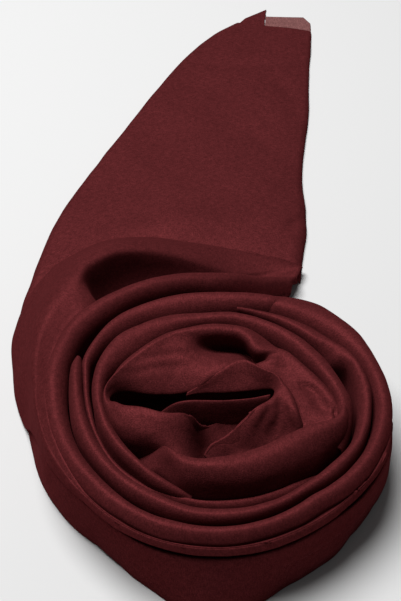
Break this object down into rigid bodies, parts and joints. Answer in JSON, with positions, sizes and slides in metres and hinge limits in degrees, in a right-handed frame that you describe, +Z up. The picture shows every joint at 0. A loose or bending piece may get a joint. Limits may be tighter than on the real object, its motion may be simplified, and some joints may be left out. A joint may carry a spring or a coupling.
{
  "type": "folded square satin scarf",
  "caption": "Square satin scarf folded corner to corner into a band and wound flat into a rosette, with its end left as a tail.",
  "frame": {"origin": "on the surface that the scarf lies on, under the middle of the rosette", "axes": "+Z up, +Y from the rosette along the flat tail, +X to the right as seen from the front"},
  "size_m": [0.1885, 0.4456, 0.0583],
  "materials": {
    "satin": "soft satin weave with a slight nap",
    "sheer_layer": "one layer of thin satin, slightly see-through"
  },
  "bodies": {
    "root": {"outer_turn": "satin", "inner_wrap": "satin", "middle_turn": "satin", "inner_turn": "satin", "collar": "satin", "hem_ledge": "satin", "skirt": "satin", "upper_petal": "satin", "inner_petal": "satin", "right_fold": "satin", "left_petal": "satin", "right_flap": "satin", "front_roll": "satin", "tail": "satin", "tail_corner": "sheer_layer", "tail_point": "satin"}
  },
  "joints": []
}
